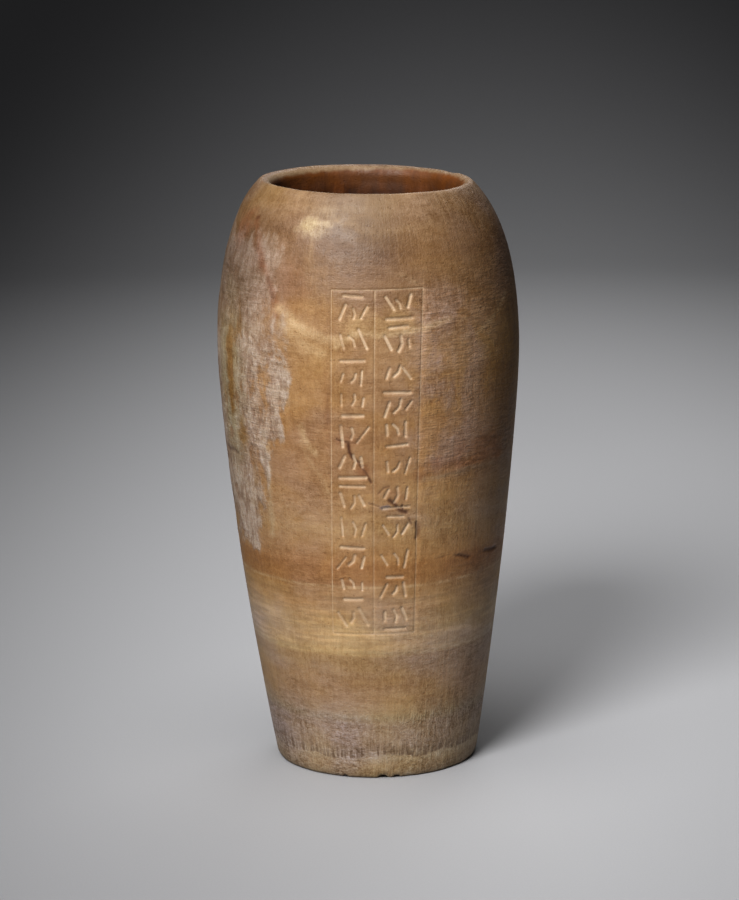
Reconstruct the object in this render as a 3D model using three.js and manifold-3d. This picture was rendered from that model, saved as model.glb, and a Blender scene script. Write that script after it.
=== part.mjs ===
// A canopic jar of banded travertine, without its lid: one hollow stone vessel, with a ruled panel
// of two columns of shallow strokes cut into its front. Millimetres, +Z up, front towards -Y.
import * as THREE from "three";
import { mergeVertices } from "three/addons/utils/BufferGeometryUtils.js";
import Module from "manifold-3d";

const wasm = await Module();
wasm.setup();

// Driving dimensions.
const height = 340;
const foot = { radius: 58.9, edge: 3 };
const belly = { radius: 87.2, height: 246 };
const shoulder = { radius: 64.3, height: height - 4 };
const rim = { crestRadius: 59.4, mouthRadius: 54, lipDepth: 6 };
const cavity = { radius: 57, height: 290, floorRadius: 40, floorHeight: 44 };
const footDrift = 2.4; // the foot stands this far to the right of the belly's axis
const rimTilt = 0.0226; // rise of the rim's plane per millimetre towards its left side
const tiltStart = 286; // the rim's tilt fades out below this height
const roundSides = 64;

// The ruled panel, laid out on the wall: distance along the wall from the front line, and height.
const panel = {
  top: 290,
  bottom: 90,
  rulesAtTop: [-20.2, 4.1, 31.6],
  rulesAtBottom: [-23.4, 0.4, 23.8],
  ruleWidth: 0.9,
  ruleDepth: 0.5,
};
const strokes = {
  rows: 11,
  margin: 9.6,
  depth: 0.8,
  spacing: 5.6, // between the standing strokes of a row
  standing: 12, // the longest standing stroke
  level: 16, // the longest level stroke
  widths: [1, 2.2],
  lean: 38, // degrees either way from upright
};

// Small losses: azimuth from the front in degrees, height, size across and size up the wall.
const chips = [
  { azimuth: 3, z: 0, across: 7, up: 1.3 },
  { azimuth: 11, z: 0, across: 5, up: 1.0 },
  { azimuth: -19, z: 0, across: 4, up: 0.8 },
  { azimuth: 124, z: height + 0.4, across: 8, up: 1.6 },
];

const v = (x, y) => new THREE.Vector2(x, y);
const lerp = THREE.MathUtils.lerp;
const degrees = THREE.MathUtils.degToRad;

// The outside, from the foot's edge to the belly and on to the shoulder.
const wallCurve = new THREE.CubicBezierCurve(
  v(foot.radius, foot.edge), v(75.7, 100),
  v(belly.radius, belly.height - 37.5), v(belly.radius, belly.height));
const shoulderCurve = new THREE.CubicBezierCurve(
  v(belly.radius, belly.height), v(belly.radius, belly.height + 18.3),
  v(85.1, 312), v(shoulder.radius, shoulder.height));

// Radius of the outside at a height between the foot's edge and the shoulder, by halving the curve.
function wallRadius(z) {
  const curve = z < belly.height ? wallCurve : shoulderCurve;
  let low = 0;
  let high = 1;
  for (let i = 0; i < 30; i++) {
    const middle = (low + high) / 2;
    if (curve.getPoint(middle).y < z) low = middle;
    else high = middle;
  }
  return curve.getPoint(low).x;
}

// Moves a point of the true round form to where the carver's hand left it.
function settle(point) {
  const below = Math.max(0, 1 - point.z / belly.height);
  const tilt = rimTilt * THREE.MathUtils.smoothstep(point.z, tiltStart, height);
  point.z -= tilt * point.x;
  point.x += footDrift * below * below;
  return point;
}

// A closed outline turned about the axis: the underside, the wall, the lip and the bored cavity.
function jarOutline() {
  const { crestRadius, mouthRadius, lipDepth } = rim;
  const lipBottom = height - lipDepth;
  const footEdge = new THREE.QuadraticBezierCurve(
    v(foot.radius - foot.edge, 0), v(foot.radius - 0.4, 0), v(foot.radius, foot.edge));
  const rimOutside = new THREE.CubicBezierCurve(
    v(shoulder.radius, shoulder.height), v(61.7, 339.1), v(61, height), v(crestRadius, height));
  const rimInside = new THREE.CubicBezierCurve(
    v(crestRadius, height), v(56.6, height), v(mouthRadius, height - 2), v(mouthRadius, lipBottom));
  const neck = new THREE.CubicBezierCurve(
    v(mouthRadius, lipBottom), v(mouthRadius, 322), v(cavity.radius, 312), v(cavity.radius, cavity.height));
  const boring = new THREE.CubicBezierCurve(
    v(cavity.radius, cavity.height), v(cavity.radius, 205), v(46, 130), v(cavity.floorRadius, 68));
  const floor = new THREE.CubicBezierCurve(
    v(cavity.floorRadius, 68), v(38.5, 53), v(27, cavity.floorHeight), v(0, cavity.floorHeight));
  const stretches = [[footEdge, 3], [wallCurve, 12], [shoulderCurve, 9], [rimOutside, 3], [rimInside, 4],
    [neck, 3], [boring, 5], [floor, 4]];
  const points = [v(0, 0), v(foot.radius - foot.edge, 0)];
  for (const [curve, steps] of stretches) points.push(...curve.getPoints(steps).slice(1));
  return points;
}

// A closed mesh as a solid that can be cut.
function solidOf(geometry) {
  const bare = new THREE.BufferGeometry().setAttribute("position", geometry.getAttribute("position"));
  bare.setIndex(geometry.index);
  const merged = mergeVertices(bare, 1e-3);
  return new wasm.Manifold(new wasm.Mesh({
    numProp: 3,
    vertProperties: new Float32Array(merged.attributes.position.array),
    triVerts: new Uint32Array(merged.index.array),
  }));
}

// A point at a distance along the wall from the front line and at a height, lifted off the stone by out.
function onWall(along, z, out) {
  const radius = wallRadius(z);
  const slope = wallRadius(z + 0.5) - wallRadius(z - 0.5);
  const azimuth = along / radius;
  const reach = radius + out / Math.hypot(1, slope);
  const lift = (-slope * out) / Math.hypot(1, slope);
  return settle(new THREE.Vector3(reach * Math.sin(azimuth), -reach * Math.cos(azimuth), z + lift));
}

// The same path with its long stretches split, so that a cut along it follows the round wall.
function splitPath(path) {
  const points = [path[0]];
  for (let i = 1; i < path.length; i++) {
    const [from, to] = [path[i - 1], path[i]];
    const pieces = Math.ceil(Math.max(Math.abs(to.x - from.x) / 9, Math.abs(to.y - from.y) / 21));
    for (let k = 1; k <= pieces; k++) points.push(from.clone().lerp(to, k / pieces));
  }
  return points;
}

// A chisel cut: a V-shaped trough along a path on the wall, narrower and shallower at its two ends.
function chiselCut(path, width, depth) {
  const proud = 1;
  const points = splitPath(path);
  const last = points.length - 1;
  const corners = [];
  points.forEach((point, i) => {
    const ahead = points[Math.min(i + 1, last)].clone().sub(points[Math.max(i - 1, 0)]).normalize();
    const share = i === 0 || i === last ? 0.6 : 1;
    const half = (width / 2) * (share + proud / depth);
    corners.push(
      onWall(point.x - ahead.y * half, point.y + ahead.x * half, proud),
      onWall(point.x + ahead.y * half, point.y - ahead.x * half, proud),
      onWall(point.x, point.y, -depth * share));
  });
  const faces = [0, 2, 1];
  for (let i = 0; i < last; i++) {
    for (let k = 0; k < 3; k++) {
      const a = 3 * i + k;
      const b = 3 * i + ((k + 1) % 3);
      faces.push(a, b, a + 3, b, b + 3, a + 3);
    }
  }
  faces.push(3 * last, 3 * last + 1, 3 * last + 2);
  const cut = new THREE.BufferGeometry().setFromPoints(corners);
  cut.setIndex(faces);
  return solidOf(cut);
}

// Where the panel's rule number k stands at a height.
const ruleAt = (k, z) =>
  lerp(panel.rulesAtBottom[k], panel.rulesAtTop[k], (z - panel.bottom) / (panel.top - panel.bottom));

// Three upright rules and two level ones.
function panelRules() {
  const { top, bottom, ruleWidth, ruleDepth } = panel;
  const uprights = [0, 1, 2].map((k) => [v(ruleAt(k, bottom), bottom), v(ruleAt(k, top), top)]);
  const levels = [bottom, top].map((z) => [v(ruleAt(0, z), z), v(ruleAt(2, z), z)]);
  return [...uprights, ...levels].map((path) => chiselCut(path, ruleWidth, ruleDepth));
}

// A number from 0 to 1 with no visible order, the same each time for the same whole number.
function scatter(n) {
  const wave = 43758.5453 * Math.sin(12.9898 * n + 1.7);
  return wave - Math.floor(wave);
}

// The strokes of one row about its centre: leaning ones side by side, the middle one bent, and in two rows
// of three a level one under or over them. Each is a width and a path.
function rowStrokes(seed) {
  const any = (k, low, high) => lerp(low, high, scatter(seed * 17 + k));
  const [thin, thick] = strokes.widths;
  const hasLevel = seed % 3 !== 1;
  const lift = !hasLevel ? 0 : seed % 2 ? 2.2 : -2.2;
  const row = [];
  for (const place of [-1, 0, 1]) {
    const k = 5 * place + 5;
    const lean = degrees(any(k, -strokes.lean, strokes.lean));
    const half = (any(k + 1, 0.45, 1) * strokes.standing * (hasLevel ? 0.75 : 1)) / 2;
    const middle = v(place * strokes.spacing + any(k + 2, -0.8, 0.8), lift + any(k + 3, -1.2, 1.2));
    const reach = v(Math.sin(lean) * half, Math.cos(lean) * half);
    const path = [middle.clone().sub(reach), middle.clone().add(reach)];
    if (place === 0) path.splice(1, 0, middle.clone().add(v(reach.y, -reach.x).multiplyScalar(0.3)));
    row.push([any(k + 4, thin, thick), path]);
  }
  if (hasLevel) {
    const half = (any(20, 0.55, 1) * strokes.level) / 2;
    const y = -3 * lift;
    row.push([any(21, thin, thick), [v(-half, y), v(half, y + any(22, -0.8, 0.8))]]);
  }
  return row;
}

// The rows of strokes down both columns.
function panelStrokes() {
  const cuts = [];
  for (const column of [0, 1]) {
    for (let row = 0; row < strokes.rows; row++) {
      const z = lerp(panel.top - strokes.margin, panel.bottom + strokes.margin, row / (strokes.rows - 1));
      const centre = v((ruleAt(column, z) + ruleAt(column + 1, z)) / 2, z);
      for (const [width, path] of rowStrokes(strokes.rows * column + row)) {
        cuts.push(chiselCut(path.map((point) => point.add(centre)), width, strokes.depth));
      }
    }
  }
  return cuts;
}

// Chips off the foot's edge and the rim.
function chipCuts() {
  return chips.map(({ azimuth, z, across, up }) => {
    const bite = new THREE.IcosahedronGeometry(1, 1);
    bite.deleteAttribute("normal");
    bite.deleteAttribute("uv");
    const radius = z < foot.edge ? foot.radius - 0.6 : rim.crestRadius;
    bite.scale(across / 2, 3.2, up);
    bite.rotateZ(degrees(azimuth));
    bite.translate(radius * Math.sin(degrees(azimuth)), -radius * Math.cos(degrees(azimuth)), z);
    const places = bite.getAttribute("position");
    const point = new THREE.Vector3();
    for (let i = 0; i < places.count; i++) {
      settle(point.fromBufferAttribute(places, i));
      places.setXYZ(i, point.x, point.y, point.z);
    }
    return solidOf(mergeVertices(bite, 1e-4));
  });
}

// The turned form, settled, then cut.
function jarGeometry() {
  const turned = new THREE.LatheGeometry(jarOutline(), roundSides);
  turned.rotateX(Math.PI / 2);
  const places = turned.getAttribute("position");
  const point = new THREE.Vector3();
  for (let i = 0; i < places.count; i++) {
    settle(point.fromBufferAttribute(places, i));
    places.setXYZ(i, point.x, point.y, point.z);
  }
  let stone = solidOf(turned);
  for (const cut of [...panelRules(), ...panelStrokes(), ...chipCuts()]) stone = stone.subtract(cut);
  const { vertProperties, triVerts } = stone.getMesh();
  const geometry = new THREE.BufferGeometry();
  geometry.setAttribute("position", new THREE.BufferAttribute(vertProperties, 3));
  geometry.setIndex(new THREE.BufferAttribute(triVerts, 1));
  geometry.computeVertexNormals();
  return geometry;
}

const travertine = new THREE.MeshStandardMaterial({ color: 0xa88259, roughness: 0.55, metalness: 0 });

const canopicJar = new THREE.Group();
const jar = new THREE.Mesh(jarGeometry(), travertine);
jar.name = "jar";
canopicJar.add(jar);

export default canopicJar;
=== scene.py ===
import itertools
import math

import bpy
import numpy as np
from mathutils import Matrix, Vector


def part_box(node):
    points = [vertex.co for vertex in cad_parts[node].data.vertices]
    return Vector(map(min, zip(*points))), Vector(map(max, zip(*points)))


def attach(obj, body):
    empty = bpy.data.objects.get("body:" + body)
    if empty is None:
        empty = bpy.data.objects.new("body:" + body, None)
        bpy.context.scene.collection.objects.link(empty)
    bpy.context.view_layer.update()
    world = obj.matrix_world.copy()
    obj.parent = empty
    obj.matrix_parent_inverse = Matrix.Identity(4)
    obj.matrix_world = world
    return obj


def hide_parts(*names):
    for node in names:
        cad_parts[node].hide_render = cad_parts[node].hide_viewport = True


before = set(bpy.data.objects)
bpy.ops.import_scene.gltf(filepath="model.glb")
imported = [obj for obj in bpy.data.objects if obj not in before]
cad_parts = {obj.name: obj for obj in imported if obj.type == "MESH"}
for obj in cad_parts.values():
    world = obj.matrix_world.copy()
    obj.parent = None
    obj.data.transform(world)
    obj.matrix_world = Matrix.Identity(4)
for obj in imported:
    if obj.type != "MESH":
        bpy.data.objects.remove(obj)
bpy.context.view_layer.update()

print("packed jar loaded")

mm = 0.001


# a cubic curve through its first and last points, drawn towards the middle two; one point per row
def bezier(corners, steps):
    t = np.linspace(0, 1, steps + 1)[:, None]
    a, b, c, d = np.array(corners, float)
    return (1 - t) ** 3 * a + 3 * (1 - t) ** 2 * t * b + 3 * (1 - t) * t ** 2 * c + t ** 3 * d


# 0 below low, 1 above high, eased between
def ease(low, high, value):
    t = np.clip((value - low) / (high - low), 0, 1)
    return t * t * (3 - 2 * t)


# a bell about a middle: 1 there, and falling off over the given width
def bell(value, middle, width):
    return np.exp(-((value - middle) / width) ** 2)


# smooth unevenness from about -1 to 1: chance values on a cubic lattice of the given cell, eased between its
# corners
def unevenness(points, cell, seed):
    size = 24
    lattice = np.random.default_rng(seed).uniform(-1, 1, (size, size, size))
    place = points / cell + 100  # clear of the lattice's start
    corner = np.floor(place).astype(int)
    part = place - corner
    part = part * part * (3 - 2 * part)
    total = np.zeros(points.shape[:-1])
    for step in itertools.product((0, 1), repeat=3):
        share = np.prod(np.where(np.array(step) == 1, part, 1 - part), axis=-1)
        i, j, k = np.moveaxis((corner + np.array(step)) % size, -1, 0)
        total += share * lattice[i, j, k]
    return total


# the same at several cells, each half the last and adding the given share of its height
def roughness(points, cell, seed, layers=3, share=0.55):
    total, weight = 0, 1
    for layer in range(layers):
        total = total + weight * unevenness(points, cell / 2 ** layer, seed + layer)
        weight *= share
    return total


# nearest distance from every grid place to a path of straight pieces, both in the plane of the unrolled wall
def distanceToPath(along, up, path):
    nearest = np.full(along.shape, 1e9)
    for (ax, ay), (bx, by) in zip(path[:-1], path[1:]):
        length = (bx - ax) ** 2 + (by - ay) ** 2
        t = np.clip(((along - ax) * (bx - ax) + (up - ay) * (by - ay)) / length, 0, 1)
        nearest = np.minimum(nearest, np.hypot(along - ax - t * (bx - ax), up - ay - t * (by - ay)))
    return nearest


jarForm = {  # millimetres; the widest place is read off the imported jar
    "height": 340,
    "footRadius": 58.9, "footEdge": 3,
    "bellyRadius": round(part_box("jar")[1][0] / mm, 1), "bellyHeight": 246,
    "shoulderRadius": 64.3, "shoulderHeight": 336,
    "crestRadius": 59.4, "mouthRadius": 54, "lipDepth": 6,
    "cavityRadius": 57, "cavityHeight": 290,
    "floorRadius": 40, "floorEdge": 68, "floorHeight": 44,
    "footDrift": 2.4,  # how far the foot stands off the belly's axis
    "rimTilt": 0.0226, "tiltStart": 286,  # the rim's slope, and the height where it sets in
}

meshSteps = {  # rows along each stretch of the outline, from the underside round to the cavity's floor
    "underside": 6, "footEdge": 5, "lowWall": 50, "highWall": 27,
    "rimOutside": 6, "rimInside": 9, "neck": 16, "boring": 22, "floor": 12,
    "panelRow": 0.7,  # height in mm of the rows across the panel
    "panelColumns": 39, "besideRule": 0.021,  # columns between two rules, and the gap to the nearest one
    "sideColumns": [(38, 3.0), (36, 7.0), (24, 3.0), (33, 1.4)],  # how many and how wide, on round the back
    "boredRimRows": 7,  # rows inside the rim that have the cavity's stone
}

panel = {  # millimetres, and degrees for the lean
    "top": 290, "bottom": 90,
    "rulesAtTop": [-20.2, 4.1, 31.6], "rulesAtBottom": [-23.4, 0.4, 23.8],
    "ruleWidth": 0.5, "ruleDepth": 0.4,
    "rows": 11, "margin": 9.6,
    "depth": 0.8, "edgeSoftness": 0.5, "widths": [1.0, 2.2],
    "spacing": 5.6, "standing": 12, "shortestStanding": 0.45, "lean": 38, "bend": 0.3,
    "strayAcross": 0.8, "strayUp": 1.2,
    "level": 16, "shortestLevel": 0.55, "levelRise": 0.8,
    "lift": 2.2, "besideLevel": 0.75,  # how far a level stroke moves the others, and the share it leaves them
}

footTop = (jarForm["footRadius"], jarForm["footEdge"])
belly = (jarForm["bellyRadius"], jarForm["bellyHeight"])
shoulder = (jarForm["shoulderRadius"], jarForm["shoulderHeight"])
crest = (jarForm["crestRadius"], jarForm["height"])
lip = (jarForm["mouthRadius"], jarForm["height"] - jarForm["lipDepth"])
cavity = (jarForm["cavityRadius"], jarForm["cavityHeight"])
floorEdge = (jarForm["floorRadius"], jarForm["floorEdge"])
floorMiddle = (0, jarForm["floorHeight"])

outline = {  # radius and height of each stretch's two ends and of the two points that draw it
    "footEdge": [(footTop[0] - footTop[1], 0), (footTop[0] - 1.2, 0), (footTop[0] - 0.2, 1), footTop],
    "wall": [footTop, (75.7, 100), (belly[0], belly[1] - 37.5), belly],
    "shoulder": [belly, (belly[0], belly[1] + 18.3), (85.1, 312), shoulder],
    "rimOutside": [shoulder, (61.7, 339.1), (61, crest[1]), crest],
    "rimInside": [crest, (56.6, crest[1]), (lip[0], crest[1] - 2), lip],
    "neck": [lip, (lip[0], 322), (cavity[0], 312), cavity],
    "boring": [cavity, (cavity[0], 205), (46, 130), floorEdge],
    "floor": [floorEdge, (38.5, 53), (27, floorMiddle[1]), floorMiddle],
}
outsideCurve = np.vstack([bezier(outline["wall"], 400), bezier(outline["shoulder"], 400)[1:]])


# radius of the outside at a height, read off its curve
def wallRadius(z):
    return np.interp(z, outsideCurve[:, 1], outsideCurve[:, 0])


# where rule k of the panel stands along the wall at a height, straight between its two ends
def ruleAt(k, z):
    t = (np.clip(z, panel["bottom"], panel["top"]) - panel["bottom"]) / (panel["top"] - panel["bottom"])
    return panel["rulesAtBottom"][k] * (1 - t) + panel["rulesAtTop"][k] * t


# rows of the outside from the foot to the shoulder: even ones below the panel, fine ones of one height across
# it, and above it places spaced evenly along the curve
def wallRows():
    top, bottom = panel["top"], panel["bottom"]
    step = (top - bottom) / round((top - bottom) / meshSteps["panelRow"])
    lowHeights = np.linspace(footTop[1], bottom - 2 * step, meshSteps["lowWall"])
    fineHeights = np.arange(bottom - step, top + 2.5 * step, step)
    heights = np.concatenate([lowHeights, fineHeights])
    low = np.column_stack([wallRadius(heights), heights])
    rest = outsideCurve[np.searchsorted(outsideCurve[:, 1], fineHeights[-1] + 0.5):]
    run = np.concatenate([[0], np.cumsum(np.hypot(*np.diff(rest, axis=0).T))])
    spots = np.linspace(0, run[-1], meshSteps["highWall"])
    high = np.column_stack([np.interp(spots, run, rest[:, 0]), np.interp(spots, run, rest[:, 1])])
    return np.vstack([low, high])


# the closed outline from the middle of the underside, up the wall, over the lip and down to the middle of the
# cavity's floor: radius and height of each row, and the rows where the wall ends and the cavity starts
def outlineRows():
    flatRows = meshSteps["underside"]
    flat = np.linspace(0, outline["footEdge"][0][0], flatRows + 1)[1:]
    underside = np.column_stack([flat, np.zeros(flatRows)])
    curves = {name: bezier(outline[name], meshSteps[name]) for name in outline if name in meshSteps}
    outside = [underside, curves["footEdge"][1:-1], wallRows()]
    rim = [curves["rimOutside"][1:], curves["rimInside"][1:]]
    inside = [curves["neck"][1:], curves["boring"][1:], curves["floor"][1:-1]]
    wallEnds = sum(len(part) for part in outside)
    boreStarts = wallEnds + sum(len(part) for part in rim)
    return np.vstack(outside + rim + inside), {"wallEnds": wallEnds, "boreStarts": boreStarts}


# angle of every column at every height: columns follow the panel's leaning rules, then spread round the back
def columnAngles(heights):
    radius = wallRadius(np.clip(heights, panel["bottom"], panel["top"]))
    rules = np.stack([ruleAt(k, heights) / radius for k in range(3)])
    gap = meshSteps["besideRule"]
    half = np.concatenate([[0], np.linspace(gap, 1 - gap, meshSteps["panelColumns"])])
    across = np.concatenate([[-gap], half, 1 + half, [2, 2 + gap]])
    left, middle, right = rules[:, :, None]
    leftHalf = left + (middle - left) * across
    rightHalf = middle + (right - middle) * (across - 1)
    inPanel = np.where(across <= 1, leftHalf, rightHalf)
    steps = np.concatenate([np.full(count, width) for count, width in meshSteps["sideColumns"]])
    t = np.cumsum(steps)[:-1] / steps.sum()
    first, last = inPanel[:, -1:], inPanel[:, :1] + 2 * math.pi
    return np.hstack([inPanel, first + (last - first) * t])


# a number from 0 to 1 with no visible order, the same each time for the same whole number
def scatter(n):
    wave = 43758.5453 * math.sin(12.9898 * n + 1.7)
    return wave - math.floor(wave)


# the strokes of one row about its centre: three leaning ones, the middle one bent, and in two rows of three a
# level one under or over them; each is a width and a path
def rowStrokes(seed):
    def anyFrom(k, low, high):
        return low + (high - low) * scatter(seed * 17 + k)
    hasLevel = seed % 3 != 1
    lift = (panel["lift"] if seed % 2 else -panel["lift"]) if hasLevel else 0
    tallest = panel["standing"] * (panel["besideLevel"] if hasLevel else 1)
    acrossStray, upStray = panel["strayAcross"], panel["strayUp"]
    row = []
    for place in (-1, 0, 1):
        k = 5 * place + 5
        lean = math.radians(anyFrom(k, -panel["lean"], panel["lean"]))
        half = anyFrom(k + 1, panel["shortestStanding"], 1) * tallest / 2
        x = place * panel["spacing"] + anyFrom(k + 2, -acrossStray, acrossStray)
        y = lift + anyFrom(k + 3, -upStray, upStray)
        dx, dy = math.sin(lean) * half, math.cos(lean) * half
        bend = [(x + panel["bend"] * dy, y - panel["bend"] * dx)] if place == 0 else []
        row.append((anyFrom(k + 4, *panel["widths"]), [(x - dx, y - dy)] + bend + [(x + dx, y + dy)]))
    if hasLevel:
        half = anyFrom(20, panel["shortestLevel"], 1) * panel["level"] / 2
        y = -3 * lift
        rise = anyFrom(22, -panel["levelRise"], panel["levelRise"])
        row.append((anyFrom(21, *panel["widths"]), [(-half, y), (half, y + rise)]))
    return row


# every cut of the panel as its width, depth and path: three standing rules, two level ones, and the rows of
# strokes spaced evenly down both columns
def panelCuts():
    top, bottom = panel["top"], panel["bottom"]
    rules = [[(ruleAt(k, bottom), bottom), (ruleAt(k, top), top)] for k in range(3)]
    rules += [[(ruleAt(0, z), z), (ruleAt(2, z), z)] for z in (bottom, top)]
    cuts = [(panel["ruleWidth"], panel["ruleDepth"], path) for path in rules]
    for column, row in itertools.product((0, 1), range(panel["rows"])):
        z = top - panel["margin"] - row * (top - bottom - 2 * panel["margin"]) / (panel["rows"] - 1)
        centre = (ruleAt(column, z) + ruleAt(column + 1, z)) / 2
        for width, path in rowStrokes(panel["rows"] * column + row):
            cuts.append((width, panel["depth"], [(centre + x, z + y) for x, y in path]))
    return cuts


# how far each grid place is cut by the panel: 0 on the old face, 1 on the bottom of a stroke
def cutPanel(along, up):
    cut = np.zeros(along.shape)
    for width, depth, path in panelCuts():
        away = distanceToPath(along, up, path)
        cut = np.maximum(cut, depth / panel["depth"] * (1 - ease(0, width / 2 + panel["edgeSoftness"], away)))
    return cut


# what time has done to the stone; places are degrees round from the front and height in mm
wear = {
    "edge": [  # where the weathered side ends, towards the panel
        (-39, 326), (-40, 310), (-38, 292), (-36, 270), (-35, 240), (-33, 222), (-35, 204), (-43, 196),
        (-49, 175), (-51, 150), (-55, 136),
    ],
    "farEdge": -122, "lowEdge": 138, "highEdge": 315,
    "edgeBlend": 7,  # degrees over which the weathered side thins out
    "veins": [  # width in mm, strength, path
        (4.8, 0.75, [(-36, 277.5), (-32, 275), (-28, 270.5), (-24, 267), (-20, 264.5), (-16, 262.5),
                     (-12, 262)]),
        (3.2, 0.95, [(-12, 259), (-9.5, 261.5), (-6.5, 265.2), (-3, 266.6), (1, 265.8), (4, 264.8),
                     (8, 265.4), (13, 266), (17, 267)]),
        (3.6, 0.5, [(17, 267), (24, 268.5), (32, 271.5)]),
        (2.4, 0.3, [(45, 261), (50, 265), (58, 271), (67, 280)]),
        (4.4, 0.35, [(-34, 269), (-28, 263), (-22, 257.5), (-17, 255)]),
        (3.6, 0.65, [(-26.5, 212), (-25, 205), (-23.2, 199.5), (-21.2, 197.5)]),
        (2.6, 0.32, [(-27, 203), (-24.5, 195), (-21.5, 188), (-18.5, 181), (-16.5, 174)]),
        (3.0, 0.13, [(-14, 327), (-7, 325.5), (-2, 322), (4, 320), (10, 321), (20, 323), (30, 325)]),
        (2.4, 0.14, [(8, 300), (14, 297), (20, 292)]),
        (2.2, 0.18, [(-24, 321), (-23.6, 314), (-23.2, 306)]),
    ],
    "cracks": [  # width in mm, strength, path
        (1.4, 1.0, [(-8.0, 203), (-7.7, 198.5), (-6.4, 195), (-4.6, 193)]),
        (1.1, 0.8, [(-4.6, 193), (-3.2, 192.6)]),
        (1.2, 0.7, [(-4.2, 192), (-1.8, 187), (-0.2, 183)]),
        (1.1, 1.0, [(-0.5, 183), (0.4, 181)]),
        (0.9, 0.8, [(-12.5, 206), (-10.2, 204.6), (-7.8, 204.2)]),
        (0.6, 0.35, [(-7.8, 204.2), (-3.5, 203.8)]),
        (0.8, 0.5, [(3.2, 174.5), (5.2, 177.5), (7.4, 178.4)]),
        (0.8, 0.6, [(-0.8, 168.8), (3.4, 166.7)]),
        (1.9, 1.0, [(7.6, 170), (9.6, 167.6), (11.6, 163.8), (14.2, 162.6)]),
        (0.9, 1.0, [(12.6, 167), (12.9, 163.2)]),
        (0.9, 0.7, [(15.4, 159), (16.4, 155.6)]),
        (1.4, 1.0, [(18.5, 156), (18.9, 151), (18.5, 146.5)]),
        (0.8, 0.35, [(-15.4, 232), (-15.6, 224), (-15.8, 214)]),
        (1.6, 1.0, [(38.5, 133), (42.5, 131.6), (46, 129.8)]),
        (2.0, 1.0, [(57, 131), (62, 130), (68, 129.5)]),
        (0.8, 0.4, [(28, 133), (33, 134)]),
        (1.3, 0.75, [(-57.5, 324), (-56, 320.5)]),
        (1.5, 0.5, [(-43, 294), (-40.5, 288), (-39, 283)]),
        (1.5, 0.4, [(-51, 308), (-48, 303), (-46.5, 298)]),
        (2.4, 0.6, [(-79, 189), (-75, 187.8), (-70, 189.4), (-65, 188.4)]),
    ],
    "goldenLine": [(-36, 277), (-24, 267), (-12, 261), (-3, 266), (4, 264.8), (17, 267), (32, 271.5)],
    "patches": {  # strength, place, size, how ragged in fine and in coarse waves, softness of the rim
        "ochre": [
            (1, (-65, 238), (3.0, 25), (0.3, 0), 0.5),
            (0.7, (-58, 201), (3.4, 8), (0.35, 0), 0.6),
            (0.5, (-52, 180), (1.6, 9), (0.3, 0), 0.6),
        ],
        "halo": [(1, (-66, 236), (10, 42), (0.2, 0.25), 0.6)],
        "pale": [
            (1, (-25, 322), (6.6, 5.2), (0.35, 0), 0.35),
            (1, (-20.5, 324), (4.6, 2.6), (0.3, 0), 0.35),
            (0.3, (-21, 330.5), (8, 3.6), (0.5, 0), 0.6),
            (0.15, (-8, 333), (8, 1.8), (0.6, 0), 0.6),
        ],
        "yellow": [(1, (-26.5, 323), (3.4, 3.0), (0.25, 0), 0.5)],
        "rust": [
            (0.9, (-2.2, 188), (3.0, 4.6), (0.4, 0), 0.5),
            (0.5, (10, 172), (4.5, 4), (0.4, 0), 0.6),
            (0.4, (-15.6, 224), (1.6, 22), (0.3, 0), 0.7),
            (0.8, (-66, 318), (6, 9), (0.4, 0), 0.6),
            (0.8, (52, 129), (20, 6.5), (0.35, 0.2), 0.5),
            (0.4, (-30, 292), (7, 14), (0, 0.4), 0.7),
            (0.55, (-9, 205), (5, 3.5), (0.4, 0), 0.6),
            (0.6, (37, 193), (3, 8), (0.4, 0), 0.6),
            (0.8, (52, 192), (9, 7), (0.5, 0), 0.6),
        ],
    },
    "streaks": {  # strength, width in mm, how ragged, path
        "pale": [
            (0.8, 3.8, 1.0, [(-43.5, 200), (-44, 172), (-45, 146)]),
            (0.4, 5, 1.2, [(-33, 232), (-32, 224)]),
            (0.45, 2.2, 1.8, [(22, 181.5), (36, 182.5), (46, 184), (58, 183.5)]),
        ],
        "rust": [
            (1, 4.0, 1.3, [(-57, 322), (-50, 308), (-43, 295), (-38, 284), (-36, 274)]),
            (0.8, 7, 3.6, [(20, 185), (34, 187), (46, 188), (62, 189)]),
        ],
    },
    "chips": [  # degrees round, height, size across and size up in mm
        (3, 0, 7, 1.3), (11, 0, 5, 1.0), (-19, 0, 4, 0.8), (124, 340, 8, 0.8),
    ],
}

reliefForm = {  # millimetres; unevenness is given as its height, its cell and its seed
    "slow": [(0.14, 60, 41), (0.07, 26, 42), (0.03, 11, 43)],
    "weathered": 0.25, "weatheredRough": 0.2, "pitDepth": 0.4, "pitStarts": 0.3,
    "ledge": 184.5, "ledgeWidth": 2.4, "ledgeStands": 0.38, "hollowDepth": 0.2,
    "crack": 0.5, "halo": 0.1,
    "boreRings": 0.25, "boreWaves": 0.3,
    "lip": [(0.22, 17, 93), (0.14, 5, 94)], "lipRadius": 59, "lipWidth": 3,
    "footEdge": 0.35, "footEdgeHeight": 1.5, "footEdgeWidth": 2.4,
    "chipRadius": 59,
}


# 1 inside a patch, 0 outside, eased over its rim; its edge is moved in and out by the ragged values
def patch(degrees, up, centre, size, ragged, soft):
    away = np.hypot((degrees - centre[0]) / size[0], (up - centre[1]) / size[1]) + ragged
    return 1 - ease(1 - soft, 1 + soft, away)


# 1 along a path given in degrees and height, fading to 0 over its width
def strand(degrees, up, path, width, ragged):
    radius = jarForm["bellyRadius"]
    path = [(math.radians(a) * radius, z) for a, z in path]
    away = distanceToPath(np.radians(degrees) * radius, up, path) + ragged
    return 1 - ease(0, width, away)


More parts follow.
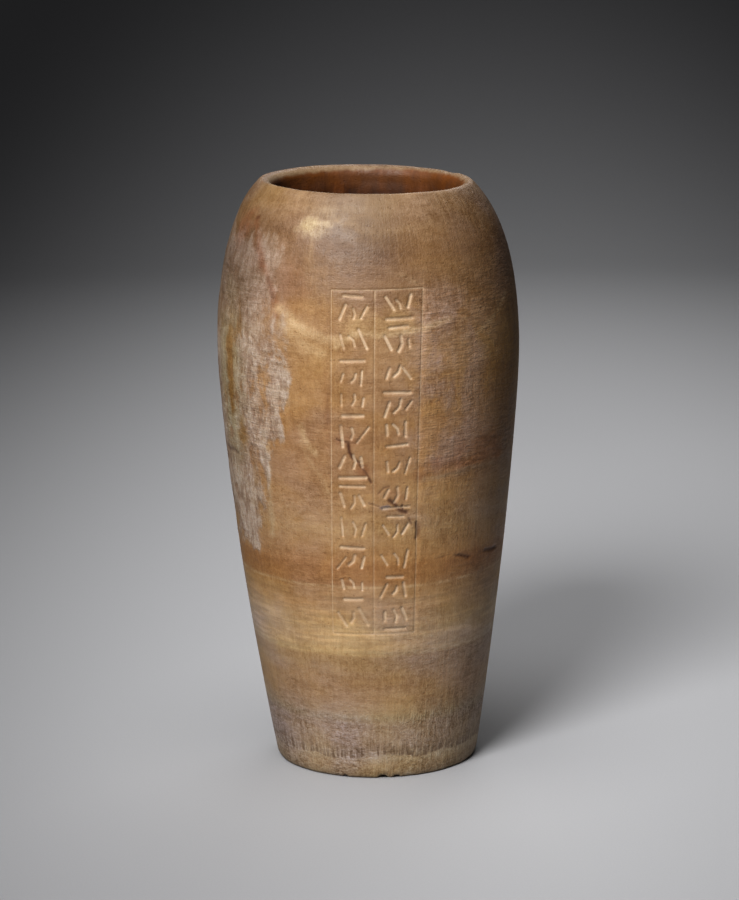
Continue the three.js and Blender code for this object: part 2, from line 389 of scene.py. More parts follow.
# the strongest of several strands, each a width, a strength and a path
def strands(degrees, up, items, ragged):
    values = [strength * strand(degrees, up, path, width, ragged) for width, strength, path in items]
    return np.maximum.reduce(values)


# 1 on the weathered side: the product of its four edges, each eased and moved in and out by the ragged values
def weatheredSide(degrees, up, ragged):
    edge = np.interp(up, [z for a, z in wear["edge"]][::-1], [a for a, z in wear["edge"]][::-1])
    blend = wear["edgeBlend"]
    near = ease(-blend, blend, edge - degrees + ragged)
    far = ease(-9, 9, degrees - wear["farEdge"] + 4 * ragged)
    low = ease(-14, 14, up - wear["lowEdge"] + 3 * ragged)
    high = ease(-7, 7, wear["highEdge"] - 0.2 * (degrees + 60) - up + 2 * ragged)
    return near * far * low * high


# honey stone along the vein: full above it in front, and half as strong below it on the left
def goldenStone(degrees, up, fine):
    line = np.interp(degrees, *zip(*wear["goldenLine"]))
    above = ease(-0.5, 2, up - line) * (1 - ease(6, 20, up - line + 5 * fine))
    above = above * ease(-13, -4, degrees) * (1 - ease(11, 22, degrees))
    below = ease(-2, 3, line - up) * (1 - ease(8, 24, line - up + 4 * fine))
    below = below * ease(-38, -30, degrees) * (1 - ease(-19, -9, degrees))
    return np.maximum(above, 0.55 * below)


# every mark on the wall as a value from 0 to 1 for each place of the grid
def wallMarks(degrees, up, points):
    coarse = roughness(points, 16, 11)
    fine = roughness(points, 5, 21)
    tiny = unevenness(points, 1.9, 31)

    # the strongest of a mark's patches and streaks
    def gather(name, *others):
        values = list(others)
        for strength, place, size, (inFine, inCoarse), soft in wear["patches"][name]:
            ragged = inFine * fine + inCoarse * coarse
            values.append(strength * patch(degrees, up, place, size, ragged, soft))
        for strength, width, inFine, path in wear["streaks"].get(name, []):
            values.append(strength * strand(degrees, up, path, width, inFine * fine))
        return np.maximum.reduce(values)

    redBand = 0.45 * ease(118, 121, up) * (1 - ease(127, 137, up + 4 * coarse))
    return {
        "carved": cutPanel(np.radians(degrees) * wallRadius(up), up),
        "weathered": weatheredSide(degrees, up, 2.2 * coarse + 1.4 * fine),
        "vein": strands(degrees, up, wear["veins"], 0.45 * fine),
        "crack": strands(degrees, up, wear["cracks"], 0.12 * fine + 0.12 * tiny),
        "golden": goldenStone(degrees, up, fine),
        "ochre": gather("ochre"), "halo": gather("halo"), "pale": gather("pale"),
        "yellow": gather("yellow"), "rust": gather("rust", redBand),
        "blue": patch(degrees, up, (5.4, 166), (2.2, 1.4), 0.3 * tiny, 0.35),
    }


# several layers of unevenness added up
def layered(points, layers):
    return sum(height * unevenness(points, cell, seed) for height, cell, seed in layers)


# how far the old face stands in or out, in mm: slow unevenness, pits on the weathered side, a lumpy ledge on
# the right with a hollow over it, cracks and the cuts of the panel
def wallRelief(marks, degrees, up, points):
    form = reliefForm
    rough = roughness(points * [1, 1, 0.3], 5, 51, 3, 0.6)
    pits = np.clip(roughness(points * [1, 1, 0.3], 3.4, 61, 2, 0.6) - form["pitStarts"], 0, None)
    worn = form["weathered"] + form["weatheredRough"] * rough + form["pitDepth"] * pits
    relief = layered(points, form["slow"]) - marks["weathered"] * worn
    ledge = ease(22, 32, degrees) * (1 - ease(60, 74, degrees))
    lumps = unevenness(points, 5.5, 71)
    ridge = bell(up, form["ledge"] + 1.6 * lumps, form["ledgeWidth"])
    relief += ledge * form["ledgeStands"] * ridge * (0.5 + 0.8 * lumps)
    aboveLedge = up - form["ledge"] - 1.5
    hollow = ease(0, 4, aboveLedge) * (1 - ease(4, 40, aboveLedge))
    relief -= ledge * form["hollowDepth"] * hollow * (0.7 + 0.5 * unevenness(points, 9, 72))
    relief -= form["crack"] * marks["crack"]
    relief -= form["halo"] * marks["halo"] * (1 + unevenness(points, 3.1, 81))
    return relief - panel["depth"] * marks["carved"]


# the marks and the relief in mm of every grid place: the wall's own, rings and waves in the bore, an uneven
# lip and foot edge, and the chips, each a bite that falls off with the square of the distance
def jarRelief(rows, ends, angles):
    form = reliefForm
    radius, height = rows[:, :1], rows[:, 1:]
    up = np.repeat(height, angles.shape[1], 1)
    plain = np.stack([radius * np.sin(angles), -radius * np.cos(angles), up], axis=-1)
    degrees = (np.degrees(angles) + 180) % 360 - 180
    rowNumber = np.arange(len(rows))[:, None]
    isWall = (rowNumber < ends["wallEnds"]) & (height >= 2)
    marks = {name: value * isWall for name, value in wallMarks(degrees, up, plain).items()}
    relief = np.where(isWall, wallRelief(marks, degrees, up, plain), 0)
    rings = form["boreRings"] * unevenness(plain * [0.25, 0.25, 3], 9, 91)
    waves = form["boreWaves"] * unevenness(plain, 22, 92)
    relief = np.where(rowNumber >= ends["boreStarts"], rings + waves, relief)
    rim = bell(radius, form["lipRadius"], form["lipWidth"]) * (height > 330)
    relief = relief + rim * layered(plain, form["lip"])
    edge = bell(height, form["footEdgeHeight"], form["footEdgeWidth"]) * (radius > 54)
    relief = relief - edge * form["footEdge"] * np.clip(unevenness(plain, 6, 95) + 0.1, 0, 1)
    for around, z, across, tall in wear["chips"]:
        offset = np.radians((degrees - around + 180) % 360 - 180) * form["chipRadius"]
        bite = np.clip(1 - (offset / (across / 2)) ** 2, 0, 1)
        bite = bite * np.clip(1 - ((up - z) / (2.2 * tall)) ** 2, 0, 1)
        relief = relief - 1.1 * tall * bite * (radius > 53)
    return marks, relief


# places of the grid in mm: the outline turned about the axis and moved outwards by the relief, the rim leant
# by a share of x that eases in with height, and the foot off the axis by the square of its depth below the
# belly
def jarPlaces(rows, angles, relief):
    form = jarForm
    radius = rows[:, :1]
    up = np.repeat(rows[:, 1:], angles.shape[1], 1)
    tangent = np.gradient(rows, axis=0)
    tangent /= np.linalg.norm(tangent, axis=1, keepdims=True)
    offRadius, offHeight = relief * tangent[:, 1:], -relief * tangent[:, :1]
    offHeight = np.where(up < 0.01, np.maximum(offHeight, 0), offHeight)
    x = (radius + offRadius) * np.sin(angles)
    y = -(radius + offRadius) * np.cos(angles)
    z = np.maximum(up + offHeight, 0)
    z = z - form["rimTilt"] * ease(form["tiltStart"], form["height"], z) * x
    x = x + form["footDrift"] * np.clip(1 - z / form["bellyHeight"], 0, None) ** 2
    return np.stack([x, y, z], axis=-1)


# one closed mesh from a grid of rings: a square between neighbouring places, and a fan from each end ring
# to a pole
def closedMesh(name, grid, poles):
    rowCount, columnCount = grid.shape[:2]
    vertices = np.vstack([grid.reshape(-1, 3), poles]) * mm
    i, j = np.meshgrid(np.arange(rowCount - 1), np.arange(columnCount), indexing="ij")
    here, beside = i * columnCount + j, i * columnCount + (j + 1) % columnCount
    squares = np.stack([here, beside, beside + columnCount, here + columnCount], axis=-1)
    ring = np.arange(columnCount)
    around = (ring + 1) % columnCount
    lastRing = (rowCount - 1) * columnCount
    lowPole, highPole = len(vertices) - 2, len(vertices) - 1
    low = np.column_stack([np.full(columnCount, lowPole), around, ring])
    high = np.column_stack([np.full(columnCount, highPole), lastRing + ring, lastRing + around])
    sizes = np.concatenate([np.full(here.size, 4), np.full(2 * columnCount, 3)])
    corners = np.concatenate([squares.ravel(), low.ravel(), high.ravel()])
    mesh = bpy.data.meshes.new(name)
    mesh.vertices.add(len(vertices))
    mesh.vertices.foreach_set("co", vertices.ravel())
    mesh.loops.add(len(corners))
    mesh.loops.foreach_set("vertex_index", corners)
    mesh.polygons.add(len(sizes))
    mesh.polygons.foreach_set("loop_start", np.concatenate([[0], np.cumsum(sizes)[:-1]]))
    mesh.polygons.foreach_set("use_smooth", np.ones(len(sizes), bool))
    return mesh


# the whole jar as one closed mesh, with its marks kept as attributes and the cavity's stone from inside the
# rim down
def makeJar():
    rows, ends = outlineRows()
    angles = columnAngles(rows[:, 1])
    rowCount, columnCount = angles.shape
    marks, relief = jarRelief(rows, ends, angles)
    drift = jarForm["footDrift"]
    floorDrift = drift * (1 - jarForm["floorHeight"] / jarForm["bellyHeight"]) ** 2
    poles = [[drift, 0, 0], [floorDrift, 0, jarForm["floorHeight"]]]
    mesh = closedMesh("stoneJar", jarPlaces(rows, angles, relief), poles)
    isBored = np.arange(rowCount - 1) >= ends["boreStarts"] - meshSteps["boredRimRows"]
    bored = np.concatenate([np.repeat(isBored, columnCount), np.zeros(columnCount), np.ones(columnCount)])
    mesh.polygons.foreach_set("material_index", bored.astype(int))
    for name, value in marks.items():
        attribute = mesh.attributes.new(name, "FLOAT", "POINT")
        attribute.data.foreach_set("value", np.append(value.ravel(), [0, 0]).astype(np.float32))
    mesh.update()
    mesh.validate()
    jar = bpy.data.objects.new("stoneJar", mesh)
    bpy.context.scene.collection.objects.link(jar)
    print("jar made:", rowCount, "rows of", columnCount, "columns")
    return jar


# a new node with its settings, and its inputs given as values or as sockets to join
def addNode(tree, kind, inputs=None, **settings):
    node = tree.nodes.new(kind)
    for name, value in settings.items():
        setattr(node, name, value)
    for name, value in (inputs or {}).items():
        socket = node.inputs[name]
        if isinstance(value, bpy.types.NodeSocket):
            tree.links.new(value, socket)
        else:
            socket.default_value = value
    return node


# one step of arithmetic
def maths(tree, operation, a, b=0.0, c=0.0):
    return addNode(tree, "ShaderNodeMath", {0: a, 1: b, 2: c}, operation=operation).outputs[0]


# the product of any number of values
def product(tree, first, *others):
    for other in others:
        first = maths(tree, "MULTIPLY", first, other)
    return first


# one step of arithmetic on two places or colours
def vectorMaths(tree, operation, a, b):
    return addNode(tree, "ShaderNodeVectorMath", {0: a, 1: b}, operation=operation).outputs[0]


# value carried from one span to another, eased and held at the ends
def remap(tree, value, low, high, toLow=0.0, toHigh=1.0):
    inputs = {"Value": value, 1: low, 2: high, 3: toLow, 4: toHigh}
    return addNode(tree, "ShaderNodeMapRange", inputs, interpolation_type="SMOOTHSTEP").outputs[0]


# 1 between two spans: it rises over the first and falls over the second, which is given from its far end
def between(tree, value, rise, fall):
    return product(tree, remap(tree, value, *rise), remap(tree, value, *fall))


# a smooth hump: 1 at the middle of a span, 0 at both ends and past them
def hump(tree, value, low, middle, high):
    return between(tree, value, (low, middle), (high, middle))


# colour b laid over colour a by a share
def overlay(tree, share, a, b):
    return addNode(tree, "ShaderNodeMix", {0: share, 6: a, 7: b}, data_type="RGBA").outputs[2]


# a colour made lighter or darker
def shade(tree, colour, factor):
    return addNode(tree, "ShaderNodeVectorMath", {0: colour, "Scale": factor}, operation="SCALE").outputs[0]


# a colour deepened by a tone under 1 and made paler by one over 1: blue goes down fastest, red slowest
def deepen(tree, colour, tone, powers):
    parts = [maths(tree, "POWER", tone, power) for power in powers]
    change = addNode(tree, "ShaderNodeCombineXYZ", dict(enumerate(parts))).outputs[0]
    return vectorMaths(tree, "MULTIPLY", colour, change)


# a colour as the eye names it, 0 to 255, turned to the light it stands for
def tint(red, green, blue):
    def light(value):
        value /= 255
        return value / 12.92 if value <= 0.04045 else ((value + 0.055) / 1.055) ** 2.4
    return (light(red), light(green), light(blue), 1)


# one of the mesh's marks, read off its attribute: 0 away from the mark, 1 in it
def mark(tree, name):
    attribute = addNode(tree, "ShaderNodeAttribute", attribute_name=name, attribute_type="GEOMETRY")
    return attribute.outputs["Fac"]


# an empty group with named inputs and outputs; kinds are Float, Vector or Color
def newGroup(name, inputs, outputs):
    group = bpy.data.node_groups.new(name, "ShaderNodeTree")
    for socketName, kind, value in inputs:
        socket = group.interface.new_socket(name=socketName, in_out="INPUT", socket_type="NodeSocket" + kind)
        if value is not None:
            socket.default_value = value
    for socketName, kind in outputs:
        group.interface.new_socket(name=socketName, in_out="OUTPUT", socket_type="NodeSocket" + kind)
    return group, group.nodes.new("NodeGroupInput").outputs, group.nodes.new("NodeGroupOutput")


# a group placed in a tree, with its inputs given as values or as sockets to join
def useGroup(tree, group, **inputs):
    return addNode(tree, "ShaderNodeGroup", inputs, node_tree=group).outputs


# noise pulled out along some directions, cut to a chosen contrast: 0 to 1
def makeStretchedNoise():
    inputs = [
        ("Place", "Vector", None), ("Stretch", "Vector", (1, 1, 1)), ("Scale", "Float", 20.0),
        ("Detail", "Float", 3.0), ("Roughness", "Float", 0.55), ("Bend", "Float", 0.0),
        ("Low", "Float", 0.35), ("High", "Float", 0.65),
    ]
    group, given, out = newGroup("stretchedNoise", inputs, [("Value", "Float")])
    pulled = vectorMaths(group, "MULTIPLY", given["Place"], given["Stretch"])
    settings = {"Vector": pulled, "Distortion": given["Bend"]}
    settings.update({name: given[name] for name in ("Scale", "Detail", "Roughness")})
    noise = addNode(group, "ShaderNodeTexNoise", settings).outputs[0]
    group.links.new(remap(group, noise, given["Low"], given["High"]), out.inputs["Value"])
    return group


# a place on the jar told as degrees round, height in mm, and a place on an even tube, where lines up the wall
# stay straight: the direction from the axis at one radius, with the height kept
def makeWallPlace():
    outputs = [("Degrees", "Float"), ("Height", "Float"), ("Tube", "Vector")]
    group, given, out = newGroup("wallPlace", [("Object", "Vector", None)], outputs)
    parts = addNode(group, "ShaderNodeSeparateXYZ", {0: given["Object"]}).outputs
    angle = maths(group, "ARCTAN2", parts[0], maths(group, "MULTIPLY", parts[1], -1.0))
    flat = addNode(group, "ShaderNodeCombineXYZ", {0: parts[0], 1: parts[1]}).outputs[0]
    outward = addNode(group, "ShaderNodeVectorMath", {0: flat}, operation="NORMALIZE").outputs[0]
    around = shade(group, outward, jarForm["bellyRadius"] * mm)
    rise = addNode(group, "ShaderNodeCombineXYZ", {2: parts[2]}).outputs[0]
    group.links.new(maths(group, "MULTIPLY", angle, 180 / math.pi), out.inputs["Degrees"])
    group.links.new(maths(group, "MULTIPLY", parts[2], 1 / mm), out.inputs["Height"])
    group.links.new(vectorMaths(group, "ADD", around, rise), out.inputs["Tube"])
    return group


grainForm = {  # each layer: the place it follows, stretch, cells a metre, detail, how far it is bent
    "clouds": ("Object", (1, 1, 1.6), 24, 4, 0.3),
    "warmth": ("Object", (1, 1, 1.4), 17, 4, 0.3),
    "mottle": ("Object", (1, 1, 1.2), 110, 5, 0.3),
    "bedding": ("Object", (0.5, 0.5, 9), 26, 4, 0.0),
    "flecks": ("Object", (1, 1, 1), 380, 3, 0.0),
    "grit": ("Object", (1, 1, 1), 1050, 2, 0.0),
    "threads": ("Tube", (1, 1, 0.17), 760, 2, 0.4),
    "grooves": ("Tube", (1, 1, 0.06), 280, 2, 0.0),
    "ripples": ("Tube", (0.2, 0.2, 1), 620, 2, 0.8),
}
grainShares = {  # how much each layer adds to the broad tone, the fine tone and, in mm, the height
    "broad": {"clouds": 0.22, "mottle": 0.12, "bedding": 0.12},
    "fine": {"flecks": 0.14, "grit": 0.15, "threads": 0.12, "grooves": 0.07, "ripples": 0.12},
    "height": {"flecks": 0.05, "grit": 0.04, "threads": 0.03, "grooves": 0.035, "ripples": 0.035},
    "speckTone": -0.16, "speckHeight": -0.08, "mottleHeight": 0.06,
}


# the stone's own grain: tone is the share of light kept, about 1; warmth is a slow swing from grey to honey;
# height is the grain's relief in mm; coarseness scales the fine part of both
def makeStoneGrain():
    inputs = [("Object", "Vector", None), ("Tube", "Vector", None), ("Coarseness", "Float", 1.0)]
    outputs = [("Tone", "Float"), ("Warmth", "Float"), ("Mottle", "Float"), ("Height", "Float")]
    group, given, out = newGroup("stoneGrain", inputs, outputs)
    layers = {}
    for name, (place, stretch, cells, detail, bend) in grainForm.items():
        layers[name] = useGroup(group, stretchedNoise, Place=given[place], Stretch=stretch, Scale=cells,
                                Detail=detail, Bend=bend, Low=0.3, High=0.7)[0]

    # layers added up about their middles
    def blend(middle, shares):
        total = middle
        for name, share in shares.items():
            total = maths(group, "ADD", total, maths(group, "MULTIPLY_ADD", layers[name], share, -share / 2))
        return total

    # upright threads and level ripples take turns from patch to patch
    for name, low, high in (("threads", 0.3, 1.1), ("ripples", 1.5, 0.4)):
        swing = remap(group, layers["warmth"], 0.2, 0.8, low, high)
        centred = maths(group, "SUBTRACT", layers[name], 0.5)
        layers[name] = maths(group, "MULTIPLY_ADD", centred, swing, 0.5)
    strength = product(group, given["Coarseness"], remap(group, layers["clouds"], 0, 1, 1.25, 0.75))
    fine, broad = blend(0.0, grainShares["fine"]), blend(1.0, grainShares["broad"])
    specks = useGroup(group, stretchedNoise, Place=given["Object"], Scale=560, Detail=1,
                      Low=0.66, High=0.76)[0]
    tone = maths(group, "MULTIPLY_ADD", fine, strength, broad)
    tone = maths(group, "MULTIPLY_ADD", specks, grainShares["speckTone"], tone)
    small = product(group, specks, grainShares["speckHeight"])
    small = maths(group, "MULTIPLY_ADD", layers["mottle"], grainShares["mottleHeight"], small)
    height = product(group, blend(0.0, grainShares["height"]), given["Coarseness"])
    height = maths(group, "ADD", height, small)
    results = {"Tone": tone, "Warmth": layers["warmth"], "Mottle": layers["mottle"], "Height": height}
    for name, value in results.items():
        group.links.new(value, out.inputs[name])
    return group


stretchedNoise = makeStretchedNoise()
wallPlace = makeWallPlace()
stoneGrain = makeStoneGrain()


# a material with only a shader and its output
def newMaterial(name, **sockets):
    material = bpy.data.materials.new(name)
    material.use_nodes = True
    tree = material.node_tree
    tree.nodes.clear()
    settings = {key.replace("_", " "): value for key, value in sockets.items()}
    shader = addNode(tree, "ShaderNodeBsdfPrincipled", settings)
    output = addNode(tree, "ShaderNodeOutputMaterial")
    tree.links.new(shader.outputs[0], output.inputs[0])
    return material, tree, shader


stone = {
    "bands": [  # height in mm and the stone's colour there
        (0, (134, 116, 90)), (8, (149, 129, 104)), (11.5, (158, 141, 120)), (15, (156, 140, 122)),
        (20, (146, 127, 108)), (33, (144, 125, 108)), (38, (145, 128, 105)), (41.5, (150, 128, 101)),
        (50, (151, 124, 91)), (60, (150, 123, 92)), (70, (149, 125, 97)), (75.5, (149, 125, 98)),
        (77.5, (169, 147, 117)), (85, (178, 154, 126)), (94, (173, 149, 118)), (106, (168, 138, 101)),
        (115, (157, 126, 87)), (119, (151, 118, 79)), (124, (156, 120, 76)), (131, (154, 118, 77)),
        (140, (151, 120, 86)), (153, (151, 124, 92)), (170, (151, 121, 86)), (185, (145, 114, 80)),
        (206, (144, 112, 77)), (230, (146, 115, 79)), (262, (142, 113, 79)), (276, (136, 107, 75)),
        (292, (118, 92, 65)), (312, (113, 87, 62)), (328, (119, 95, 70)), (340, (124, 101, 75)),
    ],
    "wander": (1.4, 8.0),  # how far the bands stray, in mm, at the foot and at the rim
    "honey": (1.07, 1.0, 0.8),  # the swing of colour from patch to patch
    "mauve": (0.98, 0.98, 1.16),
    "deepening": (0.85, 1.1, 1.5),  # how fast red, green and blue follow the tone
    # how red, green and blue follow the painted shade round the right
    "paintedShadeDeepening": (0.8, 1.0, 1.8),
    "fringe": (108, 84, 62),
    "carved": (196, 172, 144),
    "vein": (188, 162, 126),
    "golden": (166, 136, 93),
    "crack": (72, 35, 17),
    "rust": (124, 76, 42),
    "pale": (176, 157, 128),
    "yellow": (172, 154, 112),
    "skinDark": (118, 92, 74),
    "skin": (152, 131, 113),
    "skinPale": (178, 162, 146),
    "film": (150, 124, 107),
    "ochre": (126, 91, 34),
    "halo": (157, 146, 113),
    "blue": (107, 103, 113),
    "bore": (98, 54, 15),
    "boreDark": (50, 25, 8),
    "paleAndLitBore": (112, 68, 26),
}

noiseForm = {  # each noise: the place it follows, stretch, cells a metre, detail, roughness, bend, low, high
    "stray": ("place", (1, 1, 0.7), 16, 4, 0.55, 0, 0.2, 0.8),
    "film": ("place", (1, 1, 0.8), 42, 6, 0.6, 0.3, 0.4, 0.62),
    "stripes": ("place", (0.1, 0.1, 1), 330, 3, 0.55, 0, 0.38, 0.62),
    "scrapes": ("tube", (1, 1, 0.16), 430, 3, 0.55, 0, 0.36, 0.6),
    "ragged": ("place", (1, 1, 1), 60, 2, 0.55, 0, 0.2, 0.8),
    "fibres": ("tube", (1, 1, 0.5), 230, 5, 0.65, 0, 0.34, 0.66),
    "crumbs": ("place", (1, 1, 0.6), 62, 6, 0.6, 0.5, 0.36, 0.64),
    "ripples": ("place", (1, 1, 6), 115, 2, 0.55, 0.5, 0.35, 0.65),
    "stains": ("tube", (1, 1, 0.5), 44, 4, 0.55, 0, 0.3, 0.7),
    "drips": ("tube", (1, 1, 0.12), 90, 2, 0.55, 0, 0.3, 0.7),
}


# the places that a material reads: the plain one, degrees round, height in mm, and the one on an even tube
def placesOn(tree):
    place = addNode(tree, "ShaderNodeTexCoord").outputs["Object"]
    parts = useGroup(tree, wallPlace, Object=place)
    return {"place": place, "degrees": parts["Degrees"], "height": parts["Height"], "tube": parts["Tube"]}


# one of the named noises
def noiseOn(tree, at, name):
    place, stretch, cells, detail, rough, bend, low, high = noiseForm[name]
    return useGroup(tree, stretchedNoise, Place=at[place], Stretch=stretch, Scale=cells, Detail=detail,
                    Roughness=rough, Bend=bend, Low=low, High=high)[0]


# colours by height, with up to 32 stops
def bandRamp(tree, height, bands):
    lowest, highest = bands[0][0], bands[-1][0]
    share = maths(tree, "DIVIDE", maths(tree, "SUBTRACT", height, lowest), highest - lowest)
    ramp = addNode(tree, "ShaderNodeValToRGB", {0: share})
    stops = ramp.color_ramp.elements
    stops[0].position, stops[0].color = 0, tint(*bands[0][1])
    stops[1].position, stops[1].color = 1, tint(*bands[-1][1])
    for z, colour in bands[1:-1]:
        stop = stops.new((z - lowest) / (highest - lowest))
        stop.color = tint(*colour)
    return ramp.outputs[0]


# how coarse the grain is: coarse at the foot, on the right and where weathered, fine in the pale bands
def grainCoarseness(tree, at):
    paleBands = between(tree, at["height"], (74, 80), (124, 112))
    foot = remap(tree, at["height"], 44, 34, 1.0, 1.9)
    pale = remap(tree, paleBands, 0, 1, 1.0, 0.65)
    right = remap(tree, at["degrees"], 4, 24, 1.0, 1.45)
    return maths(tree, "MULTIPLY_ADD", mark(tree, "weathered"), 0.5, product(tree, foot, pale, right))


# the bands by a height that strays up and down more towards the rim, swung between mauve and honey from patch
# to patch; the second result is that height
def bandedStone(tree, at, grain):
    stray = maths(tree, "SUBTRACT", noiseOn(tree, at, "stray"), 0.5)
    stray = product(tree, stray, remap(tree, at["height"], 110, 240, *stone["wander"]))
    level = maths(tree, "ADD", at["height"], stray)
    ends = {0: grain["Warmth"], 4: stone["mauve"], 5: stone["honey"]}
    swing = addNode(tree, "ShaderNodeMix", ends, data_type="VECTOR").outputs[1]
    return vectorMaths(tree, "MULTIPLY", bandRamp(tree, level, stone["bands"]), swing), level


# painted light and shade: brighter in front, darker on the shoulder's front, darker and browner round the
# right
def paintedShadingRound(tree, at, colour):
    # painted light: up to 8% brighter in front, facing the lamps, and 10% darker at the sides
    paintedFrontLight = between(tree, at["degrees"], (-84, -14), (80, 12))
    colour = shade(tree, colour, remap(tree, paintedFrontLight, 0, 1, 0.9, 1.08))
    # painted shade over the lit front of the shoulder
    paintedShoulderShade = product(tree, hump(tree, at["degrees"], -40, -4, 32), remap(tree, at["height"], 290, 318))
    colour = shade(tree, colour, remap(tree, paintedShoulderShade, 0, 1, 1.0, 0.73))
    # painted shade round the right, the side away from the key lamp
    right = product(tree, between(tree, at["degrees"], (36, 66), (150, 100)),
                    between(tree, at["height"], (136, 180), (300, 262)))
    return deepen(tree, colour, remap(tree, right, 0, 1, 1.0, 0.84), stone["paintedShadeDeepening"])


# a dull film in ragged patches, right of the panel and fainter on the left of the shoulder
def filmed(tree, at, film, colour):
    beside = product(tree, hump(tree, at["degrees"], 4, 26, 68),
                     between(tree, at["height"], (178, 192), (305, 270)), film)
    above = product(tree, hump(tree, at["degrees"], -84, -50, -8),
                    between(tree, at["height"], (255, 275), (336, 318)), film, 0.5)
    share = product(tree, maths(tree, "MAXIMUM", beside, above), 0.85)
    return overlay(tree, share, colour, tint(*stone["film"]))


# fine stripes in the pale bands, and the thin pale seam over them
def striped(tree, at, grain, level, colour):
    share = product(tree, between(tree, level, (74, 80), (117, 112)), noiseOn(tree, at, "stripes"))
    colour = shade(tree, colour, remap(tree, share, 0, 1, 1.04, 0.88))
    broken = remap(tree, grain["Mottle"], 0, 1, 0.1, 0.4)
    seam = product(tree, hump(tree, level, 117.0, 118.4, 120.2), broken)
    return overlay(tree, seam, colour, tint(*stone["vein"]))


# share of the fringe of upright scrapes over the foot, its two edges moved by a slow noise
def fringeShare(tree, at):
    base = maths(tree, "MULTIPLY_ADD", noiseOn(tree, at, "ragged"), -4.0, at["height"])
    return product(tree, between(tree, base, (10.5, 12), (24, 11)), noiseOn(tree, at, "scrapes"))


# the weathered skin: pale crumbs over upright fibres, with the yellow halo and the ochre streaks in it
def weatheredSkin(tree, fibres, crumbs):
    skin = overlay(tree, fibres, tint(*stone["skinDark"]), tint(*stone["skin"]))
    pale = product(tree, crumbs, remap(tree, fibres, 0.1, 0.9, 0.35, 0.8))
    skin = overlay(tree, pale, skin, tint(*stone["skinPale"]))
    for name, share in (("halo", 0.75), ("ochre", 1.3)):
        uneven = product(tree, mark(tree, name), remap(tree, fibres, 0, 1, share, share * 0.75))
        skin = overlay(tree, uneven, skin, tint(*stone[name]))
    return skin


# share of the skin: the weathered mark torn up by the crumbs and fibres, and thinner towards the rim
def wornShare(tree, at, fibres, crumbs):
    weathered = mark(tree, "weathered")
    byCrumbs = product(tree, maths(tree, "SUBTRACT", crumbs, 0.5), 1.1)
    byFibres = product(tree, maths(tree, "SUBTRACT", fibres, 0.5), 0.3)
    torn = maths(tree, "ADD", weathered, maths(tree, "ADD", byCrumbs, byFibres))
    return product(tree, remap(tree, torn, 0.15, 0.85), remap(tree, weathered, 0.0, 0.2),
                   remap(tree, at["height"], 240, 296, 1.0, 0.45))


# share of the wavy ripples of handwork: on the right, and on the inner part of the weathered side
def rippleShare(tree, at):
    scaly = product(tree, mark(tree, "weathered"), remap(tree, at["degrees"], -60, -48),
                    remap(tree, at["height"], 262, 235))
    where = maths(tree, "MAXIMUM", remap(tree, at["degrees"], 8, 26), scaly)
    return product(tree, where, between(tree, at["height"], (150, 200), (318, 280)),
                   noiseOn(tree, at, "ripples"))


# the wall's stone: each layer of colour laid over the last, then its gloss, and its fine relief as bump
def makeWallStone():
    material, tree, shader = newMaterial("weatheredTravertine", IOR=1.5, Subsurface_Weight=0.05,
                                         Subsurface_Scale=0.003, Subsurface_Radius=(1.0, 0.55, 0.28))
    at = placesOn(tree)
    coarse = grainCoarseness(tree, at)
    grain = useGroup(tree, stoneGrain, Object=at["place"], Tube=at["tube"], Coarseness=coarse)
    film, fibres, crumbs = [noiseOn(tree, at, name) for name in ("film", "fibres", "crumbs")]
    fringe, ripples = fringeShare(tree, at), rippleShare(tree, at)
    worn = wornShare(tree, at, fibres, crumbs)

    colour, level = bandedStone(tree, at, grain)
    colour = paintedShadingRound(tree, at, colour)
    colour = filmed(tree, at, film, colour)
    colour = striped(tree, at, grain, level, colour)
    colour = overlay(tree, product(tree, fringe, 0.85), colour, tint(*stone["fringe"]))
    for name, share in (("golden", 0.62), ("rust", 0.65), ("vein", 0.88), ("pale", 0.62), ("yellow", 0.35)):
        uneven = remap(tree, grain["Mottle"], 0, 1, share * 0.7, share)
        colour = overlay(tree, product(tree, mark(tree, name), uneven), colour, tint(*stone[name]))
    colour = overlay(tree, product(tree, worn, 0.85), colour, weatheredSkin(tree, fibres, crumbs))
    colour = overlay(tree, product(tree, mark(tree, "rust"), worn, 0.75), colour, tint(*stone["rust"]))
    # painted shade: darker on the upper left, from left of the panel round towards the back, strongest 300 mm
    # up
    left = product(tree, between(tree, at["degrees"], (-150, -110), (-26, -62)),
                   hump(tree, at["height"], 235, 300, 338))
    colour = shade(tree, colour, remap(tree, left, 0, 1, 1.0, 0.74))
    colour = deepen(tree, colour, grain["Tone"], stone["deepening"])
    for name, share in (("crack", 0.88), ("blue", 0.6)):
        colour = overlay(tree, product(tree, mark(tree, name), share), colour, tint(*stone[name]))
    # cut stone is paler, and unevenly so
    carved = mark(tree, "carved")
    cut = product(tree, remap(tree, carved, 0.04, 0.75), remap(tree, grain["Mottle"], 0.1, 0.9, 0.55, 1.0),
                  remap(tree, film, 0, 1, 0.7, 1.0))
    colour = overlay(tree, cut, colour, tint(*stone["carved"]))
    colour = shade(tree, colour, remap(tree, ripples, 0, 1, 0.96, 1.12))
    tree.links.new(colour, shader.inputs["Base Color"])

    polished = remap(tree, grain["Mottle"], 0.0, 1.0, 0.5, 0.62)
    dull = maths(tree, "MAXIMUM", worn, carved)
    rough = addNode(tree, "ShaderNodeMix", {0: dull, 2: polished, 3: 0.85}).outputs[0]
    tree.links.new(rough, shader.inputs["Roughness"])

    relief = grain["Height"]
    skinHeight = product(tree, worn, maths(tree, "ADD", fibres, crumbs), 0.16)
    for height in (skinHeight, product(tree, fringe, -0.1), product(tree, ripples, 0.1)):
        relief = maths(tree, "ADD", relief, height)
    bump = addNode(tree, "ShaderNodeBump", {"Height": relief, "Strength": 1.0, "Distance": mm})
    tree.links.new(bump.outputs[0], shader.inputs["Normal"])
    return material
